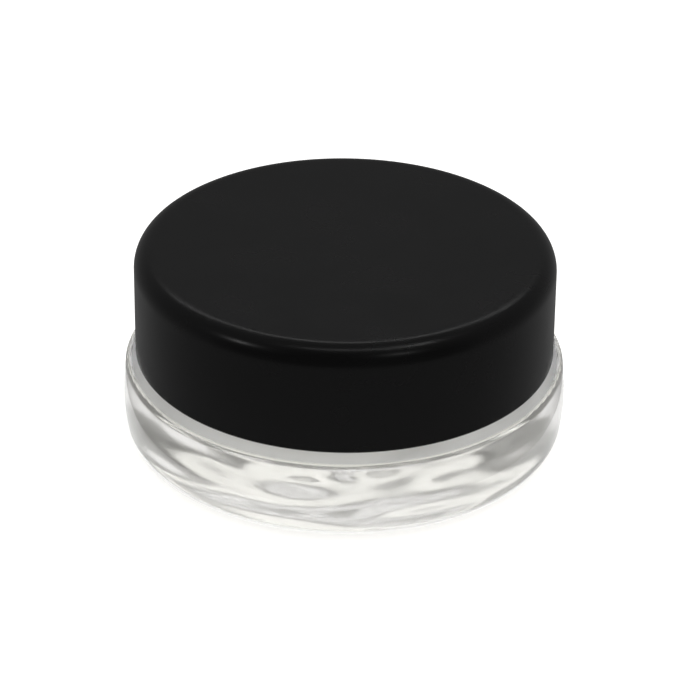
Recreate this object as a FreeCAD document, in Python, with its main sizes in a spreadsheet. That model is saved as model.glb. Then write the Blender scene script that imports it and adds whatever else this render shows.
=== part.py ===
"""A low round screw-lid jar: a thick clear glass jar, its moulded lid and the lid's sealing liner.

Millimetres, +Z up, with the origin on the jar's axis in the plane of its foot. The lid is
screwed home, so the liner lies between the lid's plate and the jar's rim. The screw threads
run in the room between the jar's neck and the lid's skirt.
"""
import FreeCAD
import Part
import Sketcher
import os

# Driving dimensions: each is a cell of the sheet, with its name as the alias.
SIZES = {
    # Lid: a single moulded wall with a flat plate on top.
    "lid_diameter": 40.6,
    "lid_height": 10.9,
    "lid_plate": 1.5,
    "lid_wall": 1.3,
    "lid_flare": 0.12,
    "lid_edge_radius": 1.95,
    "lid_lip_radius": 0.25,
    "lid_lead_in": 0.45,
    # Liner: a foam disc that the lid holds behind a bead.
    "liner_thickness": 1.0,
    "liner_clearance": 0.25,
    "liner_bead": 0.45,
    # Running room between the lid and the jar.
    "lid_gap": 0.45,
    "thread_room": 1.6,
    # Neck: the jar's finish, inside the lid.
    "neck_wall": 2.2,
    "neck_root_radius": 0.4,
    "rim_radius": 0.7,
    "bore_taper": 0.3,
    # Body: the glass that shows below the lid.
    "shoulder_height": 8.25,
    "shoulder_rise": 0.5,
    "shoulder_ledge": 0.95,
    "shoulder_radius": 0.5,
    "side_radius": 24.0,
    "heel_inset": 0.25,
    "heel_radius": 2.4,
    "foot_width": 1.6,
    "push_up": 0.8,
    # Bowl: the hollow of the jar, over a thick base.
    "base_thickness": 7.0,
    "floor_dish": 0.7,
    "bowl_radius": 3.0,
}

# Radii, worked inwards from the lid's outside to the jar's bore.
LID_RADIUS = "(Sizes.lid_diameter / 2)"
LID_INNER = f"({LID_RADIUS} - Sizes.lid_wall)"
LID_MOUTH = f"({LID_INNER} + Sizes.lid_flare)"
LEAD_IN_RADIUS = f"({LID_MOUTH} + Sizes.lid_lead_in)"
BEAD_RADIUS = f"({LID_INNER} - Sizes.liner_bead)"
LINER_RADIUS = f"({LID_INNER} - Sizes.liner_clearance)"
NECK_RADIUS = f"({LID_INNER} - Sizes.thread_room)"
BORE_RADIUS = f"({NECK_RADIUS} - Sizes.neck_wall)"
BOWL_WALL = f"({BORE_RADIUS} - Sizes.bore_taper)"

# Radii of the jar's body, whose shoulder shows as a ledge round the lid.
SHOULDER_EDGE = f"({LID_RADIUS} + Sizes.shoulder_ledge)"
HEEL_EDGE = f"({SHOULDER_EDGE} - Sizes.heel_inset)"
FOOT_INNER = f"({HEEL_EDGE} - Sizes.heel_radius - Sizes.foot_width)"

# Heights in the lid's own frame, from the edge of its skirt.
PLATE_UNDER = "(Sizes.lid_height - Sizes.lid_plate)"
LINER_UNDER = f"({PLATE_UNDER} - Sizes.liner_thickness)"
BEAD_CREST = f"({LINER_UNDER} - Sizes.liner_bead)"
BEAD_FOOT = f"({BEAD_CREST} - 2 * Sizes.liner_bead)"

# Heights in the jar's frame, from the plane of its foot.
NECK_ROOT = "(Sizes.shoulder_height + Sizes.shoulder_rise)"
SKIRT_EDGE = f"({NECK_ROOT} + Sizes.lid_gap)"
RIM = f"({SKIRT_EDGE} + {LINER_UNDER})"
FLOOR_EDGE = "(Sizes.base_thickness + Sizes.floor_dish)"

# Zero in an outline is the axis or the plane that heights are counted from.
ZERO = "0"

# Two lengths this close are the same edge.
SAME = 1e-4

# Ends of a sketch edge, its centre, and the sketch's own two axes, as sketches number them.
START, END, CENTRE = range(1, 4)
UP_AXIS, ACROSS_AXIS = range(-2, 0)

doc = FreeCAD.newDocument("screw_lid_jar")
sheet = doc.addObject("Spreadsheet::Sheet", "Sizes")
for row, (alias, value) in enumerate(SIZES.items(), start=1):
    sheet.set(f"A{row}", alias)
    sheet.set(f"B{row}", str(value))
    sheet.setAlias(f"B{row}", alias)
doc.recompute()


def size(expression):
    """The number that an expression of the sheet's aliases gives."""
    return float(sheet.evalExpression(expression))


def bowed(start, end, bow):
    """An arc from start to end whose middle stands off the chord by bow, to the left of travel."""
    chord = end - start
    left = FreeCAD.Vector(-chord.y, chord.x, 0).normalize()
    return Part.Arc(start, (start + end) * 0.5 + left * bow, end)


def bind_corner(sketch, edge, end, radius, height):
    """Hold one end of a sketch edge at a radius and a height of the sheet."""
    for axis, kind, expression in ((UP_AXIS, "DistanceX", radius), (ACROSS_AXIS, "DistanceY", height)):
        if expression == ZERO:
            sketch.addConstraint(Sketcher.Constraint("PointOnObject", edge, end, axis))
        else:
            held = Sketcher.Constraint(kind, ACROSS_AXIS, START, edge, end, size(expression))
            sketch.setExpression(f"Constraints[{sketch.addConstraint(held)}]", expression)


def turned_body(label, outline):
    """A body turned about Z from a closed outline, given anticlockwise.

    Each corner is a radius, a height and the edge that leaves it: a line, a dome, which is an
    arc centred on the axis, or the name of the size that is the radius of an outward arc.
    """
    body = doc.addObject("PartDesign::Body", label)
    sketch = body.newObject("Sketcher::SketchObject", f"{label}_outline")
    plane = next(feature for feature in body.Origin.OriginFeatures if feature.Role == "XZ_Plane")
    sketch.AttachmentSupport = [(plane, "")]
    sketch.MapMode = "FlatFace"

    corners = [FreeCAD.Vector(size(radius), size(height), 0) for radius, height, edge in outline]
    ends = []
    for number, (radius, height, edge) in enumerate(outline):
        start = corners[number]
        finish = corners[(number + 1) % len(corners)]
        if edge == "line":
            curve = Part.LineSegment(start, finish)
        elif edge == "dome":
            curve = bowed(start, finish, abs(finish.y - start.y) / 4)
        else:
            curve = bowed(start, finish, -(finish - start).Length ** 2 / (8 * size(edge)))
        sketch.addGeometry(curve)
        forwards = sketch.getPoint(number, START).distanceToPoint(start) < SAME
        ends.append((START, END) if forwards else (END, START))

    for number, (radius, height, edge) in enumerate(outline):
        first, last = ends[number]
        following = (number + 1) % len(outline)
        sketch.addConstraint(Sketcher.Constraint("Coincident", number, last, following, ends[following][0]))
        bind_corner(sketch, number, first, radius, height)
        if edge == "dome":
            sketch.addConstraint(Sketcher.Constraint("PointOnObject", number, CENTRE, UP_AXIS))
        elif edge != "line":
            bend = Sketcher.Constraint("Radius", number, size(edge))
            sketch.setExpression(f"Constraints[{sketch.addConstraint(bend)}]", edge)

    turn = body.newObject("PartDesign::Revolution", f"{label}_turn")
    turn.Profile = sketch
    turn.ReferenceAxis = (sketch, ["V_Axis"])
    turn.Angle = 360
    doc.recompute()
    return body


def round_edges(body, name, radius, *rings):
    """Round the circular edges of a turned body that lie at these radii and heights."""
    wanted = [(size(across), size(up)) for across, up in rings]
    found = []
    for number, edge in enumerate(body.Tip.Shape.Edges, start=1):
        if edge.Degenerated or not isinstance(edge.Curve, Part.Circle):
            continue
        here = (edge.Curve.Radius, edge.Curve.Center.z)
        if any(abs(here[0] - ring[0]) < SAME and abs(here[1] - ring[1]) < SAME for ring in wanted):
            found.append(f"Edge{number}")
    if len(found) != len(wanted):
        raise RuntimeError(f"{name}: found {len(found)} of {len(wanted)} edges")
    base = body.Tip
    fillet = body.newObject("PartDesign::Fillet", name)
    fillet.Base = (base, found)
    fillet.Radius = size(radius)
    fillet.setExpression("Radius", radius)
    doc.recompute()


def make_jar():
    """The glass jar: neck and rim, sloping shoulder, barrelled side, foot ring and thick bowl."""
    jar = turned_body("jar", [
        (ZERO, "Sizes.push_up", "dome"),
        (FOOT_INNER, ZERO, "line"),
        (HEEL_EDGE, ZERO, "Sizes.side_radius"),
        (SHOULDER_EDGE, "Sizes.shoulder_height", "line"),
        (NECK_RADIUS, NECK_ROOT, "line"),
        (NECK_RADIUS, RIM, "line"),
        (BORE_RADIUS, RIM, "line"),
        (BOWL_WALL, FLOOR_EDGE, "dome"),
        (ZERO, "Sizes.base_thickness", "line"),
    ])
    round_edges(jar, "heel", "Sizes.heel_radius", (HEEL_EDGE, ZERO))
    round_edges(jar, "shoulder", "Sizes.shoulder_radius", (SHOULDER_EDGE, "Sizes.shoulder_height"))
    round_edges(jar, "neck_root", "Sizes.neck_root_radius", (NECK_RADIUS, NECK_ROOT))
    round_edges(jar, "rim", "Sizes.rim_radius", (NECK_RADIUS, RIM), (BORE_RADIUS, RIM))
    round_edges(jar, "bowl", "Sizes.bowl_radius", (BOWL_WALL, FLOOR_EDGE))
    return jar


def make_lid():
    """The moulded lid: a drafted skirt with a lead-in, a bead that holds the liner, and a plate."""
    lid = turned_body("lid", [
        (LEAD_IN_RADIUS, ZERO, "line"),
        (LID_RADIUS, ZERO, "line"),
        (LID_RADIUS, "Sizes.lid_height", "line"),
        (ZERO, "Sizes.lid_height", "line"),
        (ZERO, PLATE_UNDER, "line"),
        (LID_INNER, PLATE_UNDER, "line"),
        (LID_INNER, LINER_UNDER, "line"),
        (BEAD_RADIUS, BEAD_CREST, "line"),
        (LID_INNER, BEAD_FOOT, "line"),
        (LID_MOUTH, "Sizes.lid_lead_in", "line"),
    ])
    round_edges(lid, "lid_edge", "Sizes.lid_edge_radius", (LID_RADIUS, "Sizes.lid_height"))
    round_edges(lid, "lid_lip", "Sizes.lid_lip_radius", (LID_RADIUS, ZERO))
    lid.setExpression("Placement.Base.z", SKIRT_EDGE)
    return lid


def make_liner():
    """The sealing disc: flat against the lid's plate, and the jar's rim bears on its underside."""
    liner = doc.addObject("Part::Cylinder", "liner")
    liner.setExpression("Radius", LINER_RADIUS)
    liner.setExpression("Height", "Sizes.liner_thickness")
    liner.setExpression("Placement.Base.z", RIM)
    return liner


def write_parts(pieces):
    """Check every object of the document, then write each piece's solid."""
    doc.recompute()
    for item in doc.Objects:
        if "Invalid" in item.State or "Error" in item.State:
            raise RuntimeError(f"{item.Label} failed: {item.State}")
    for piece in pieces:
        if piece.Shape.isNull() or not piece.Shape.isValid() or len(piece.Shape.Solids) != 1:
            raise RuntimeError(f"{piece.Label} has no sound solid")
    os.makedirs("parts", exist_ok=True)
    for piece in pieces:
        piece.Shape.exportStep(f"parts/{piece.Label}.step")
        box = piece.Shape.BoundBox
        print(f"{piece.Label}: {piece.Shape.Volume:.1f} mm3, z {box.ZMin:.2f} to {box.ZMax:.2f}")


write_parts([make_jar(), make_lid(), make_liner()])
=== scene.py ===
"""Looks of a low screw-lid jar: pressed clear glass, a satin black lid and a foam liner.

Every piece is turned about the jar's axis: a rounded outline in radius and height is carried
round the axis on a grid, and the screw threads, the glass's unevenness and the knurled foot are
added to that grid as functions of the angle. Lengths are in millimetres, except where a comment
on the stage says metres.
"""
import math

import bpy
import numpy as np
from mathutils import Matrix, Vector


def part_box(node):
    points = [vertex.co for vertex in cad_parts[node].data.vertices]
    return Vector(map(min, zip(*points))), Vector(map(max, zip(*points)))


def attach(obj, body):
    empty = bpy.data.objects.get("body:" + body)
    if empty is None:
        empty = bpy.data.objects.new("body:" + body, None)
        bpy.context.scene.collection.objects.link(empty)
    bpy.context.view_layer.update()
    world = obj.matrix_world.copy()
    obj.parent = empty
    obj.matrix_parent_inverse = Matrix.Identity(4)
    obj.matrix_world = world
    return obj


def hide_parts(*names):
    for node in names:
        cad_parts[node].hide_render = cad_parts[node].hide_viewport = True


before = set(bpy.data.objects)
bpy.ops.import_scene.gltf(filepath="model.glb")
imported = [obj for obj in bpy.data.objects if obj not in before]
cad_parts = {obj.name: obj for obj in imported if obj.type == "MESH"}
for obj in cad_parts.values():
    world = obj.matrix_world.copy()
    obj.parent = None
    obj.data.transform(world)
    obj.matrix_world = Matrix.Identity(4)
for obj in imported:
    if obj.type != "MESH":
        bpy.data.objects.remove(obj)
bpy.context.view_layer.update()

MM = 0.001
INCH = 25.4
TAU = 2 * math.pi


def node_size(node):
    """A CAD node's outer radius, lowest height and highest height, in millimetres."""
    low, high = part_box(node)
    return (high.x - low.x) / 2 / MM, low.z / MM, high.z / MM


BODY_RADIUS, FOOT, RIM = node_size("jar")
LID_RADIUS, SKIRT_EDGE, LID_TOP = node_size("lid")
LINER_RADIUS, LINER_UNDER, LINER_TOP = node_size("liner")

# Lid sizes: the wall, the skirt's mouth with its lead-in, and the bead that holds the liner.
LID_WALL = 1.3
LID_FLARE = 0.12
LID_EDGE_RADIUS = 1.95
LID_LIP_RADIUS = 0.25
LEAD_IN = 0.45
LEAD_IN_ROUNDING = 0.2
MOUTH_ROUNDING = 0.1
PLATE_ROUNDING = 0.15
LINER_BEAD = 0.45
BEAD_SEAT_ROUNDING = 0.05
BEAD_CREST_ROUNDING = 0.2
BEAD_FOOT_ROUNDING = 0.3
LID_INNER = LID_RADIUS - LID_WALL
LID_MOUTH = LID_INNER + LID_FLARE
BEAD_CREST = LINER_UNDER - LINER_BEAD
BEAD_FOOT = BEAD_CREST - 2 * LINER_BEAD

# The liner's cut edges are slightly rounded.
LINER_ROUNDING = 0.15

# Jar sizes. The shoulder shows as a ledge round the lid. The belly's bend rounds off a corner that
# stands a little outside the glass.
THREAD_ROOM = 1.6
NECK_WALL = 2.2
NECK_ROOT_RADIUS = 0.4
RIM_RADIUS = 0.7
SHOULDER_LEDGE = 0.95
SHOULDER_HEIGHT = 8.25
SHOULDER_RISE = 0.5
SHOULDER_RADIUS = 0.5
HEEL_INSET = 0.25
HEEL_RADIUS = 2.4
BELLY_CORNER = 0.1
BELLY_HEIGHT = 4.2
BELLY_BEND = 18.0
FOOT_WIDTH = 1.6
PUSH_UP = 0.8
BASE_THICKNESS = 7.0
FLOOR_DISH = 0.7
BOWL_RADIUS = 3.0
BORE_TAPER = 0.3
NECK_RADIUS = LID_INNER - THREAD_ROOM
NECK_ROOT = SHOULDER_HEIGHT + SHOULDER_RISE
BORE = NECK_RADIUS - NECK_WALL
BOWL_WALL = BORE - BORE_TAPER
SHOULDER_EDGE = LID_RADIUS + SHOULDER_LEDGE
HEEL_EDGE = SHOULDER_EDGE - HEEL_INSET
HEEL_START = HEEL_EDGE - HEEL_RADIUS
FOOT_INNER = HEEL_START - FOOT_WIDTH

# Points of the jar's outside lower than this belong to its foot.
NEAR_FOOT = 0.3

# Pressed glass is never quite even: how deep the waves in each surface are, and where they start.
UNEVEN_BASE = 0.07
UNEVEN_BOWL = 0.02
UNEVEN_SIDE = 0.012
BASE_SEED = 1.4
BOWL_SEED = 2.1
SIDE_SEED = 3.3

# The waves that cross in each surface: their usual length, the share of it that the first one has and
# what each next one adds, the crests of the first one round the axis, and the shift to the next.
WAVES = 5
WAVE_LENGTH = 5.2
WAVE_FIRST = 0.8
WAVE_STEP = 0.15
WAVE_CRESTS = 3
WAVE_SHIFT = 1.7

# The waves fade out towards the axis and the edges, and stop short of the shoulder and the rim.
AXIS_FADE = 4.0
EDGE_FADE = 2.0
RIM_FADE = 4.0
SHOULDER_CLEAR = 1.0
RIM_CLEAR = 3.0

# The foot ring is knurled, as pressed jars often are. The knurls run a little way up the heel.
KNURLS = 80
KNURL_DEPTH = 0.025
KNURL_REACH = 0.6
KNURL_FADE = 0.4

# Screw thread: one start, right-handed, six turns to the inch. The lid's thread lies below the jar's,
# starts a share of a pitch later, and both fade out at their ends over a share of a turn.
PITCH = INCH / 6
JAR_THREAD_DEPTH = 1.15
LID_THREAD_DEPTH = 1.05
THREAD_HALF_WIDTH = 0.95
THREAD_ROUNDNESS = 0.8
JAR_THREAD_START = 10.5
JAR_THREAD_TURNS = 1.12
JAR_THREAD_CLEAR = 0.5
LID_THREAD_DROP = 2.0
LID_THREAD_LEAD = 0.2
LID_THREAD_TURNS = 0.95
THREAD_FADE = 0.09

# The lid's thread stays on the skirt, where the wall is no wider than its mouth and this much.
SKIRT_SLACK = 0.01

# Grids: spacing along the outlines, steps of a whole turn on their arcs, and columns round the axis.
# Points closer than SAME are one point.
GLASS_SPACING = 0.36
MOULDED_SPACING = 0.3
ARC_STEPS = 48
GLASS_COLUMNS = 400
LID_COLUMNS = 320
LINER_COLUMNS = 192
STAGE_COLUMNS = 64
ROOM_ROWS = 33
SAME = 1e-6

# Noise: detail of the patches and of finer grain, and the middle span that holds most of its values.
PATCH_DETAIL = 3
GRAIN_DETAIL = 2
PATCH_SPAN = (0.3, 0.7)

# Glass: roughness runs from the shiniest patches to the dullest. Clearness is the share let through.
GLASS_TINT = "#FAFAF5"
GLASS_IOR = 1.52
GLASS_CLEARNESS = 0.87
SKIN_ROUGHNESS = (0.07, 0.13)
SKIN_PATCH = 4.0
SKIN_RIPPLE = 1.2
SKIN_DEPTH = 0.004

# The ledge's grey is painted shade under the lid. It sets in between two heights over the shoulder's edge,
# and ends between two heights over the root of the neck.
LEDGE_PAINTED_SHADE = "#C2C3C6"
LEDGE_ROUGHNESS = 0.3
LEDGE_START = (0.03, 0.09)
LEDGE_END = (0.0, 0.2)

# Lid: the grain of a satin tool is finer than this, and is drawn as coarse as it needs to show.
LID_BLACKS = ("#050505", "#070707")
LID_IOR = 1.49
LID_ROUGHNESS = (0.22, 0.28)
LID_PATCH = 6.0
LID_CLOUD = 9.0
LID_GRAIN = 0.2
LID_GRAIN_DEPTH = 0.002

# Foam: colour and roughness as made, and where the jar's rim has pressed it.
FOAM_WHITES = ("#EEEDE6", "#DFDED6")
FOAM_ROUGHNESS = (0.7, 0.4)
FOAM_SPECULAR = 0.4
FOAM_CELL = 0.35
FOAM_CELL_DEPTH = 0.05
PRESSED_FADE = 0.4

# Settings that several shader nodes share.
SMOOTH = {"interpolation_type": "SMOOTHSTEP"}
MULTIPLY = {"operation": "MULTIPLY"}
LARGER = {"operation": "MAXIMUM"}
COLOURS = {"data_type": "RGBA"}

# Light: the floor glows a little, as a light table does, under an even sky and a broad soft box.
# Places and sizes are in metres, and powers in watts. The paint is the share of light it gives back.
FLOOR_REACH = 3.0
FLOOR_GLOW = 0.75
FLOOR_PAINT = 0.45
FLOOR_TONE = "#FFFEFA"
SKY = 1.14
SKY_TONE = "#FCFBFF"
KEY_PLACE = (0.1, 0.0, 1.0)
KEY_SIZE = (0.8, 0.8)
KEY_POWER = 2.0

# Narrow lights that show only as glints on the lid: place, length and width in metres, and power.
GLINTS = (
    ("overhead_strip", (0.09, -0.156, 0.985), (0.67, 0.05), 0.22),
    ("overhead_end", (0.36, -0.07, 0.94), (0.14, 0.05), 0.13),
    ("back_strip", (0.0, 0.68, 0.73), (0.9, 0.05), 0.33),
    ("right_window", (0.41, -0.63, 0.67), (0.12, 0.04), 0.1),
    ("left_window", (-0.7, -0.37, 0.61), (0.08, 0.05), 0.19),
)

# Reflections show a dim round room instead of floor and sky. Its radius is in metres. Each change of
# its glow has an axis, two places along it in shares of the radius, and the values at those places.
ROOM_RADIUS = 2.5
ROOM_GLOW = ("Z", (-0.4, 0.3), (0.19, 0.147))
ROOM_FRONT_SHARE = ("Y", (-0.2, 0.9), (0.65, 1))
ROOM_DARK_SHARE = ("Y", (-0.6, -0.1), (0.3, 1))
ROOM_LOW_SHARE = ("Z", (-0.45, -0.15), (1, 0))

# A bright plate on the floor under the jar, for reflections as well.
PLATE_RADIUS = 27.0
PLATE_DEPTH = 1.0
PLATE_GLOW = 1.0

# Camera, fitted to the outlines of the lid and the glass in the photograph. It stands off by so many
# lid radii, and sees from near to far in metres.
PICTURE = 700
SKIRT_CENTRE_PX = (344.5, 345.2)
LID_RADIUS_PX = 208.65
CAMERA_DISTANCE = 16.92 * LID_RADIUS
CAMERA_ELEVATION = math.radians(29.73)
CAMERA_ROLL = 0.0117
CAMERA_NEAR = 0.01
CAMERA_FAR = 20
SENSOR = 36.0


def put_in_scene(name, data):
    """A new object of the scene that holds a mesh, a light or a camera."""
    thing = bpy.data.objects.new(name, data)
    bpy.context.scene.collection.objects.link(thing)
    return thing


def rounded_outline(corners, spacing):
    """Points along a run of straight lines whose corners are rounded by arcs.

    Each corner is a radius, a height and its rounding. The rounding touches both lines at
    rounding * tan(turn / 2) from the corner. Points lie at most spacing apart on the lines, and
    at most spacing or one arc step apart on the arcs.
    """
    points = np.array([corner[:2] for corner in corners], float)
    pieces = [points[:1]]
    for number in range(1, len(corners) - 1):
        here, rounding = points[number], corners[number][2]
        before = here - points[number - 1]
        after = points[number + 1] - here
        before, after = before / np.linalg.norm(before), after / np.linalg.norm(after)
        turn = math.atan2(before[0] * after[1] - before[1] * after[0], before @ after)
        reach = rounding * abs(math.tan(turn / 2))
        start = here - before * reach
        side = math.copysign(1.0, turn)
        inward = side * np.array([-before[1], before[0]])
        centre = start + inward * rounding
        steps = max(2, math.ceil(abs(turn) * max(rounding / spacing, ARC_STEPS / TAU)))
        angle = np.linspace(0, abs(turn), steps + 1)[:, None]
        pieces.append(centre + rounding * (before * np.sin(angle) - inward * np.cos(angle)))
    pieces.append(points[-1:])
    whole = [pieces[0]]
    for last, piece in zip(pieces, pieces[1:]):
        steps = max(1, math.ceil(np.linalg.norm(piece[0] - last[-1]) / spacing))
        share = np.linspace(0, 1, steps + 1)[1:-1, None]
        whole.append(last[-1] + (piece[0] - last[-1]) * share)
        whole.append(piece)
    outline = np.concatenate(whole)
    apart = np.linalg.norm(np.diff(outline, axis=0), axis=1) > SAME
    return outline[np.r_[True, apart]].T


def carry_round(outline, columns):
    """Grids of radius, height and angle: an outline repeated at even steps of angle round the axis."""
    angle = np.linspace(0, TAU, columns, endpoint=False)[None, :]
    radius, height = np.repeat(outline[:, :, None], columns, axis=2)
    return radius, height, angle


def turned_piece(name, radius, height, angle):
    """A closed piece from grids of radius and height over outline and angle.

    The first and last rows lie on the axis and become one point each. Row i and angle j give the
    point (radius cos angle, radius sin angle, height), and the outline runs anticlockwise in the
    plane of radius and height, so that the faces look outwards.
    """
    rows, columns = radius.shape
    ring = np.stack([radius * np.cos(angle), radius * np.sin(angle), height], -1)[1:-1]
    poles = np.array([[0, 0, height[0].mean()], [0, 0, height[-1].mean()]])
    points = np.concatenate([ring.reshape(-1, 3), poles]) * MM

    index = np.arange((rows - 2) * columns).reshape(rows - 2, columns)
    ahead = np.roll(index, -1, axis=1)
    quads = np.stack([index[:-1], ahead[:-1], ahead[1:], index[1:]], -1).reshape(-1, 4)
    first, last = (rows - 2) * columns, (rows - 2) * columns + 1
    start_fan = np.stack([np.full(columns, first), ahead[0], index[0]], -1)
    end_fan = np.stack([np.full(columns, last), index[-1], ahead[-1]], -1)

    mesh = bpy.data.meshes.new(name)
    mesh.from_pydata(points, [], quads.tolist() + start_fan.tolist() + end_fan.tolist())
    mesh.polygons.foreach_set("use_smooth", np.ones(len(mesh.polygons), bool))
    mesh.update()
    return put_in_scene(name, mesh)


def smooth_step(value):
    """0 below 0, 1 above 1, and an S curve between."""
    value = np.clip(value, 0, 1)
    return value * value * (3 - 2 * value)


def thread_ridge(height, angle, start, turns):
    """How far a one-start right-hand thread stands out, from 0 to 1.

    The ridge's centre climbs one pitch a turn from the start height. Across it the section is
    rounded: 1 - x^2, raised to the power of the thread's roundness, with x the distance from the
    centre in half widths. Both ends fade out along the turn.
    """
    ridge = np.zeros_like(height)
    for lap in range(math.ceil(turns) + 1):
        turn = angle / TAU + lap
        away = (height - start - PITCH * turn) / THREAD_HALF_WIDTH
        section = np.clip(1 - away * away, 0, 1) ** THREAD_ROUNDNESS
        ends = smooth_step(turn / THREAD_FADE) * smooth_step((turns - turn) / THREAD_FADE)
        ridge = np.maximum(ridge, section * ends)
    return ridge


def unevenness(along, angle, seed):
    """Slow waves along an outline and round the axis, about -1 to 1: a sum of crossing sines.

    Each wave has its own length along the outline and its own count round the axis, and they run
    round by turns one way and the other, so that they cross in long lenses.
    """
    total = 0
    for wave in range(WAVES):
        length = WAVE_LENGTH * (WAVE_FIRST + WAVE_STEP * wave)
        count = (wave + WAVE_CRESTS) * (-1) ** wave
        total = total + np.sin(TAU * along / length + count * angle + WAVE_SHIFT * wave + seed)
    return total / (WAVES / 2)


def jar_outline():
    """The jar's outline, and which of its points lie on the underside and which inside.

    The underside is pushed up and the bowl's floor dished, both by the square of the radius.
    """
    radius, height = rounded_outline([
        (0, FOOT, 0),
        (FOOT_INNER, FOOT, 0),
        (HEEL_EDGE, FOOT, HEEL_RADIUS),
        (BODY_RADIUS + BELLY_CORNER, BELLY_HEIGHT, BELLY_BEND),
        (SHOULDER_EDGE, SHOULDER_HEIGHT, SHOULDER_RADIUS),
        (NECK_RADIUS, NECK_ROOT, NECK_ROOT_RADIUS),
        (NECK_RADIUS, RIM, RIM_RADIUS),
        (BORE, RIM, RIM_RADIUS),
        (BOWL_WALL, BASE_THICKNESS, BOWL_RADIUS),
        (0, BASE_THICKNESS, 0),
    ], GLASS_SPACING)
    inside = np.arange(len(radius)) > np.argmax(height)
    under = (radius < FOOT_INNER) & (height < NEAR_FOOT) & ~inside
    push = PUSH_UP * (1 - (radius / FOOT_INNER) ** 2)
    dish = FLOOR_DISH * (radius / BOWL_WALL) ** 2 * (RIM - height) / (RIM - BASE_THICKNESS)
    height = height + np.where(under, push, 0) + np.where(inside, dish, 0)
    return np.stack([radius, height]), under, inside


def make_jar():
    """The glass jar: underside, heel, side, shoulder, threaded neck, rim, bore and bowl.

    Waves are added to the heights of the underside and the bowl and to the radii of the side, then
    the knurls to the heights of the foot ring and the thread to the radii of the neck.
    """
    outline, under, inside = jar_outline()
    radius, height, angle = carry_round(outline, GLASS_COLUMNS)
    under, inside = under[:, None], inside[:, None]

    middle = smooth_step(radius / AXIS_FADE)
    fade = middle * smooth_step((FOOT_INNER - radius) / EDGE_FADE) * under
    height = height + UNEVEN_BASE * fade * unevenness(radius, angle, BASE_SEED)
    fade = middle * smooth_step((RIM - RIM_CLEAR - height) / RIM_FADE) * inside
    height = height + UNEVEN_BOWL * fade * unevenness(radius, angle, BOWL_SEED)
    side = ~(under | inside) & (height > NEAR_FOOT)
    fade = smooth_step((SHOULDER_HEIGHT - SHOULDER_CLEAR - height) / EDGE_FADE)
    fade = fade * smooth_step(height / EDGE_FADE) * side
    radius = radius + UNEVEN_SIDE * fade * unevenness(height, angle, SIDE_SEED)

    ring = smooth_step((radius - FOOT_INNER) / KNURL_FADE)
    ring = ring * smooth_step((HEEL_START + KNURL_REACH - radius) / KNURL_FADE)
    knurl = KNURL_DEPTH * (1 + np.cos(KNURLS * angle)) / 2
    height = height + ring * (height < NEAR_FOOT) * knurl

    neck = (height > NECK_ROOT + JAR_THREAD_CLEAR) & ~inside
    ridge = thread_ridge(height, angle, JAR_THREAD_START, JAR_THREAD_TURNS)
    radius = radius + np.where(neck, JAR_THREAD_DEPTH * ridge, 0)
    return turned_piece("jar_glass", radius, height, angle)


def make_lid():
    """The lid: plate, liner bead, skirt with inside thread and lead-in, and rounded top edge."""
    outline = rounded_outline([
        (0, LINER_TOP, 0),
        (LID_INNER, LINER_TOP, PLATE_ROUNDING),
        (LID_INNER, LINER_UNDER, BEAD_SEAT_ROUNDING),
        (LID_INNER - LINER_BEAD, BEAD_CREST, BEAD_CREST_ROUNDING),
        (LID_INNER, BEAD_FOOT, BEAD_FOOT_ROUNDING),
        (LID_MOUTH, SKIRT_EDGE + LEAD_IN, LEAD_IN_ROUNDING),
        (LID_MOUTH + LEAD_IN, SKIRT_EDGE, MOUTH_ROUNDING),
        (LID_RADIUS, SKIRT_EDGE, LID_LIP_RADIUS),
        (LID_RADIUS, LID_TOP, LID_EDGE_RADIUS),
        (0, LID_TOP, 0),
    ], MOULDED_SPACING)
    radius, height, angle = carry_round(outline, LID_COLUMNS)
    skirt = (radius < LID_MOUTH + SKIRT_SLACK) & (height < BEAD_FOOT)
    start = JAR_THREAD_START - LID_THREAD_DROP + PITCH * LID_THREAD_LEAD
    ridge = thread_ridge(height, angle, start, LID_THREAD_TURNS)
    radius = radius - np.where(skirt, LID_THREAD_DEPTH * ridge, 0)
    return turned_piece("lid_shell", radius, height, angle)


def make_liner():
    """The liner: a flat foam disc with rounded cut edges."""
    outline = rounded_outline([
        (0, LINER_UNDER, 0),
        (LINER_RADIUS, LINER_UNDER, LINER_ROUNDING),
        (LINER_RADIUS, LINER_TOP, LINER_ROUNDING),
        (0, LINER_TOP, 0),
    ], MOULDED_SPACING)
    return turned_piece("foam_liner", *carry_round(outline, LINER_COLUMNS))


def linear(colour):
    """An sRGB hex colour as linear red, green, blue and alpha."""
    channels = [int(colour[place:place + 2], 16) / 255 for place in (1, 3, 5)]
    bright = [c / 12.92 if c <= 0.04045 else ((c + 0.055) / 1.055) ** 2.4 for c in channels]
    return (*bright, 1.0)


def add_node(tree, kind, *ordered, settings=None, **named):
    """Add a shader node with its settings and inputs, and give its outputs by name.

    Inputs come in the node's own order, or by name with underscores for spaces. Each is a value,
    or an output of another node, which is linked.
    """
    node = tree.nodes.new(kind)
    for name, setting in (settings or {}).items():
        setattr(node, name, setting)
    sockets = [socket for socket in node.inputs if socket.enabled]
    inputs = list(zip(sockets, ordered))
    inputs += [(node.inputs[name.replace("_", " ")], value) for name, value in named.items()]
    for socket, value in inputs:
        if isinstance(value, bpy.types.NodeSocket):
            tree.links.new(value, socket)
        else:
            socket.default_value = value
    return {socket.name: socket for socket in node.outputs if socket.enabled}


def new_material(name):
    """An empty node material and its node tree."""
    material = bpy.data.materials.new(name)
    material.use_nodes = True
    material.node_tree.nodes.clear()
    return material, material.node_tree


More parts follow.
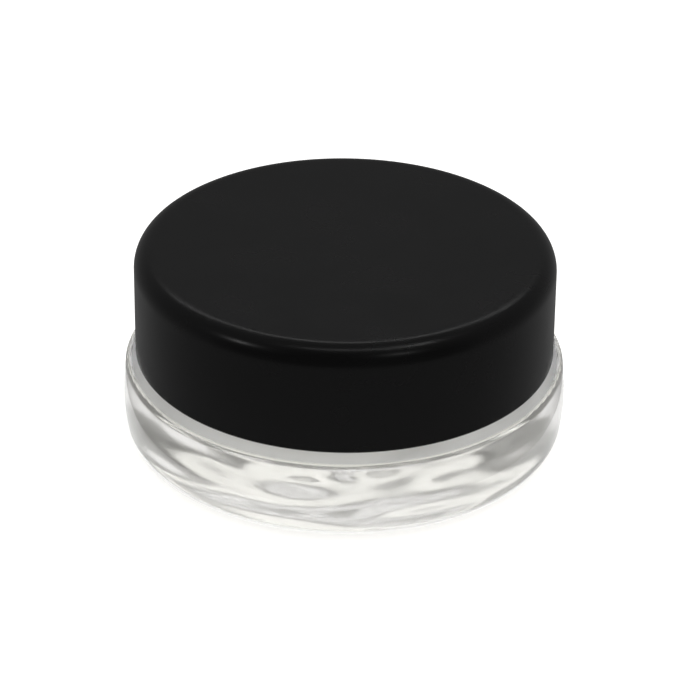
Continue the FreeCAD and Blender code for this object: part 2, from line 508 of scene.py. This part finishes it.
def patches(tree, place, size, low, high):
    """A value that drifts from low to high in soft random patches of about this size."""
    noise = add_node(tree, "ShaderNodeTexNoise", place, Scale=1 / (size * MM), Detail=PATCH_DETAIL)["Fac"]
    return add_node(tree, "ShaderNodeMapRange", noise, *PATCH_SPAN, low, high, settings=SMOOTH)["Result"]


def grain(tree, place, size, depth):
    """A surface normal that leans as random grain of this size and depth does."""
    noise = add_node(tree, "ShaderNodeTexNoise", place, Scale=1 / (size * MM), Detail=GRAIN_DETAIL)["Fac"]
    return add_node(tree, "ShaderNodeBump", Height=noise, Distance=depth * MM)["Normal"]


def pressed_glass():
    """Soda-lime glass, pressed and fire polished: clear but soft, since the mould leaves its skin.

    The skin's roughness drifts in patches, over faint ripples. The shoulder's ledge is matt, and its grey
    is painted shade under the lid, so that it shows as an even grey band there, as in the photograph.
    """
    material, tree = new_material("pressed_soda_lime_glass")
    place = add_node(tree, "ShaderNodeTexCoord")["Object"]
    height = add_node(tree, "ShaderNodeSeparateXYZ", place)["Z"]
    start = [(SHOULDER_HEIGHT + rise) * MM for rise in LEDGE_START]
    end = [(NECK_ROOT + rise) * MM for rise in LEDGE_END]
    above = add_node(tree, "ShaderNodeMapRange", height, *start, 0, 1, settings=SMOOTH)["Result"]
    below = add_node(tree, "ShaderNodeMapRange", height, *end, 1, 0, settings=SMOOTH)["Result"]
    ledge = add_node(tree, "ShaderNodeMath", above, below, settings=MULTIPLY)["Value"]
    matt = add_node(tree, "ShaderNodeMath", ledge, LEDGE_ROUGHNESS, settings=MULTIPLY)["Value"]
    skin = patches(tree, place, SKIN_PATCH, *SKIN_ROUGHNESS)
    rough = add_node(tree, "ShaderNodeMath", skin, matt, settings=LARGER)["Value"]
    # On the ledge the glass's own tint gives way to a grey that is painted shade under the lid.
    tint_and_painted_shade = [linear(GLASS_TINT), linear(LEDGE_PAINTED_SHADE)]
    tint_with_painted_shade = add_node(tree, "ShaderNodeMix", ledge, *tint_and_painted_shade, settings=COLOURS)["Result"]
    shader = add_node(tree, "ShaderNodeBsdfPrincipled", Base_Color=tint_with_painted_shade, Roughness=rough,
                      Normal=grain(tree, place, SKIN_RIPPLE, SKIN_DEPTH), IOR=GLASS_IOR,
                      Transmission_Weight=GLASS_CLEARNESS)["BSDF"]
    add_node(tree, "ShaderNodeOutputMaterial", shader)
    return material


def moulded_polypropylene():
    """Black polypropylene from a satin tool: dark all through, with a soft sheen at the edges.

    A fine grain breaks the reflections up, and handling has left slow patches of gloss.
    """
    material, tree = new_material("moulded_black_polypropylene")
    place = add_node(tree, "ShaderNodeTexCoord")["Object"]
    cloud = add_node(tree, "ShaderNodeTexNoise", place, Scale=1 / (LID_CLOUD * MM), Detail=GRAIN_DETAIL)
    blacks = [linear(black) for black in LID_BLACKS]
    colour = add_node(tree, "ShaderNodeMix", cloud["Fac"], *blacks, settings=COLOURS)["Result"]
    shader = add_node(tree, "ShaderNodeBsdfPrincipled", Base_Color=colour,
                      Roughness=patches(tree, place, LID_PATCH, *LID_ROUGHNESS),
                      Normal=grain(tree, place, LID_GRAIN, LID_GRAIN_DEPTH), IOR=LID_IOR)["BSDF"]
    add_node(tree, "ShaderNodeOutputMaterial", shader)
    return material


def foamed_polyethylene():
    """White foamed polyethylene sheet: matt, with closed cells, and smoother where the rim bears.

    The pressed ring lies where the distance from the axis differs from that of the middle of the
    rim by less than half the rim's width.
    """
    material, tree = new_material("foamed_polyethylene")
    place = add_node(tree, "ShaderNodeTexCoord")["Object"]
    flat = add_node(tree, "ShaderNodeVectorMath", place, (1, 1, 0), settings=MULTIPLY)["Vector"]
    out = add_node(tree, "ShaderNodeVectorMath", flat, settings={"operation": "LENGTH"})["Value"]
    half = NECK_WALL / 2
    beyond = add_node(tree, "ShaderNodeMath", out, (NECK_RADIUS - half) * MM,
                      settings={"operation": "SUBTRACT"})["Value"]
    away = add_node(tree, "ShaderNodeMath", beyond, settings={"operation": "ABSOLUTE"})["Value"]
    pressed = add_node(tree, "ShaderNodeMapRange", away, (half - PRESSED_FADE) * MM, half * MM, 1, 0,
                       settings=SMOOTH)["Result"]
    rough = add_node(tree, "ShaderNodeMapRange", pressed, 0, 1, *FOAM_ROUGHNESS, settings=SMOOTH)["Result"]
    whites = [linear(white) for white in FOAM_WHITES]
    colour = add_node(tree, "ShaderNodeMix", pressed, *whites, settings=COLOURS)["Result"]
    cells = add_node(tree, "ShaderNodeTexVoronoi", place, Scale=1 / (FOAM_CELL * MM))["Distance"]
    lean = add_node(tree, "ShaderNodeBump", Height=cells, Distance=FOAM_CELL_DEPTH * MM)["Normal"]
    shader = add_node(tree, "ShaderNodeBsdfPrincipled", Base_Color=colour, Roughness=rough,
                      Normal=lean, Specular_IOR_Level=FOAM_SPECULAR)["BSDF"]
    add_node(tree, "ShaderNodeOutputMaterial", shader)
    return material


def hide(thing, *rays):
    """Hide a lamp or a piece of the stage from rays of these kinds."""
    for ray in rays:
        setattr(thing, f"visible_{ray}", False)


def area_light(name, place, size, power):
    """A rectangular soft light that looks at the origin, its length along X as far as it can lie."""
    light = bpy.data.lights.new(name, "AREA")
    light.shape = "RECTANGLE"
    light.size, light.size_y = size
    light.energy = power
    lamp = put_in_scene(name, light)
    away = Vector(place).normalized()
    across = (Vector((1, 0, 0)) - away * away.x).normalized()
    turn = Matrix((across, away.cross(across), away)).transposed()
    lamp.matrix_world = Matrix.Translation(place) @ turn.to_4x4()
    return lamp


def make_floor():
    """A matt white floor that glows a little. Reflections show the room instead of it."""
    mesh = bpy.data.meshes.new("floor")
    corners = np.array([(-1, -1, 0), (1, -1, 0), (1, 1, 0), (-1, 1, 0)]) * FLOOR_REACH
    mesh.from_pydata(corners, [], [(0, 1, 2, 3)])
    floor = put_in_scene("floor", mesh)
    hide(floor, "glossy")
    material, tree = new_material("matt_white_floor")
    paint = add_node(tree, "ShaderNodeBsdfDiffuse", (FLOOR_PAINT, FLOOR_PAINT, FLOOR_PAINT, 1))["BSDF"]
    glow = add_node(tree, "ShaderNodeEmission", linear(FLOOR_TONE), FLOOR_GLOW)["Emission"]
    shader = add_node(tree, "ShaderNodeAddShader", paint, glow)["Shader"]
    add_node(tree, "ShaderNodeOutputMaterial", shader)
    mesh.materials.append(material)


def make_sky():
    """An even soft sky."""
    world = bpy.data.worlds.new("soft_sky")
    bpy.context.scene.world = world
    world.use_nodes = True
    background = world.node_tree.nodes["Background"].inputs
    background["Color"].default_value = linear(SKY_TONE)
    background["Strength"].default_value = SKY


def make_lights():
    """A broad soft box overhead, which reflections don't show, and the lights that make the glints."""
    hide(area_light("key", KEY_PLACE, KEY_SIZE, KEY_POWER), "glossy")
    for glint in GLINTS:
        hide(area_light(*glint), "diffuse", "transmission")


def mirrored_prop(name, outline, material, glow):
    """A turned piece of the stage that glows by a strength or a link, and that only reflections show."""
    prop = turned_piece(name, *carry_round(outline, STAGE_COLUMNS))
    hide(prop, "camera", "diffuse", "transmission", "shadow")
    material.cycles.emission_sampling = "NONE"
    shader = add_node(material.node_tree, "ShaderNodeEmission", Strength=glow)["Emission"]
    add_node(material.node_tree, "ShaderNodeOutputMaterial", shader)
    prop.data.materials.append(material)


def make_room():
    """A dim round room that only reflections show, so that the black lid keeps its dark edges.

    Its wall is a sphere round the origin, R sin t across and -R cos t high. It glows more behind
    than in front, and in front it is darker still from a little below the horizon upwards.
    """
    material, tree = new_material("dim_room_wall")
    place = add_node(tree, "ShaderNodeTexCoord")["Object"]
    way = add_node(tree, "ShaderNodeSeparateXYZ", place)
    changes = []
    for axis, places, values in (ROOM_GLOW, ROOM_FRONT_SHARE, ROOM_DARK_SHARE, ROOM_LOW_SHARE):
        span = [ROOM_RADIUS * share for share in places]
        change = add_node(tree, "ShaderNodeMapRange", way[axis], *span, *values, settings=SMOOTH)
        changes.append(change["Result"])
    glow, front, dark, low = changes
    lit = add_node(tree, "ShaderNodeMath", dark, low, settings=LARGER)["Value"]
    share = add_node(tree, "ShaderNodeMath", front, lit, settings=MULTIPLY)["Value"]
    glow = add_node(tree, "ShaderNodeMath", glow, share, settings=MULTIPLY)["Value"]

    tilt = np.linspace(0, math.pi, ROOM_ROWS)
    outline = ROOM_RADIUS / MM * np.stack([np.sin(tilt), -np.cos(tilt)])
    mirrored_prop("room", outline, material, glow)


def make_plate():
    """A bright disc on the floor that only reflections show, so that the glass keeps its pale edges."""
    outline = np.array([[0, PLATE_RADIUS, PLATE_RADIUS, 0], [-PLATE_DEPTH, -PLATE_DEPTH, 0, 0]])
    mirrored_prop("bright_plate", outline, new_material("bright_plate")[0], PLATE_GLOW)


def make_camera():
    """The photograph's camera: the middle of the skirt's edge falls on its measured pixel."""
    lens = bpy.data.cameras.new("camera")
    lens.sensor_width = SENSOR
    lens.lens = SENSOR * LID_RADIUS_PX * CAMERA_DISTANCE / LID_RADIUS / PICTURE
    lens.clip_start = CAMERA_NEAR
    lens.clip_end = CAMERA_FAR
    camera = put_in_scene("camera", lens)
    bpy.context.scene.camera = camera
    turn = Matrix.Rotation(math.pi / 2 - CAMERA_ELEVATION, 4, "X") @ Matrix.Rotation(CAMERA_ROLL, 4, "Z")
    per_pixel = LID_RADIUS / LID_RADIUS_PX
    across = (PICTURE / 2 - SKIRT_CENTRE_PX[0]) * per_pixel
    down = (PICTURE / 2 - SKIRT_CENTRE_PX[1]) * per_pixel
    place = turn @ Vector((across * MM, -down * MM, CAMERA_DISTANCE * MM))
    camera.matrix_world = Matrix.Translation(Vector((0, 0, SKIRT_EDGE * MM)) + place) @ turn


make_camera()
make_floor()
make_sky()
make_lights()
make_room()
make_plate()
for piece, body, node, slot, finish in (
    (make_jar(), "jar", "jar", "clear_glass", pressed_glass()),
    (make_lid(), "lid", "lid", "black_polypropylene", moulded_polypropylene()),
    (make_liner(), "liner", "liner", "white_foam", foamed_polyethylene()),
):
    piece.data.materials.append(finish)
    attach(piece, body)
    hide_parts(node)

bpy.context.scene.view_settings.view_transform = "Standard"
